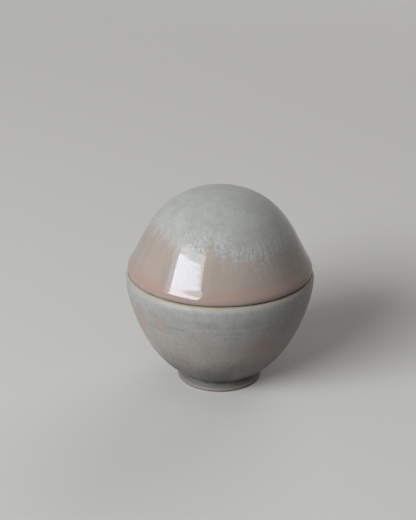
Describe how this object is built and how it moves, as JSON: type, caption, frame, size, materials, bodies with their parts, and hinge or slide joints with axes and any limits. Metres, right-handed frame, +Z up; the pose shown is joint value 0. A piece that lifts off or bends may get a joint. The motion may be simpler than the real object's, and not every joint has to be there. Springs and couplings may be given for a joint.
{
  "type": "lidded bowl",
  "caption": "Round stoneware bowl on a turned foot ring, with a domed lid that rests flat on the rim, is kept in place by a flange in the mouth and lifts off.",
  "frame": {"origin": "centre of the foot's underside, on the surface that the bowl stands on", "axes": "+Z up along the axis that both pieces are turned about; X and Y are free, because the part is round"},
  "size_m": [0.1124, 0.1124, 0.12],
  "materials": {
    "bowl_glaze": "satin cool grey stoneware glaze, faintly streaked, with a warm rim where it thins",
    "lid_glaze": "glossy peach-grey stoneware glaze under a pale grey second glaze that runs down from the top",
    "bare_clay": "unglazed fired stoneware, matte, on the seats, the flange and the foot's face"
  },
  "bodies": {
    "bowl_body": {"bowl": "bowl_glaze"},
    "lid_body": {"lid": "lid_glaze"}
  },
  "joints": [
    {"name": "lid_lift", "type": "slide", "parent": "bowl_body", "child": "lid_body", "axis": [0, 0, 1], "range_m": [0, 0.1]}
  ]
}
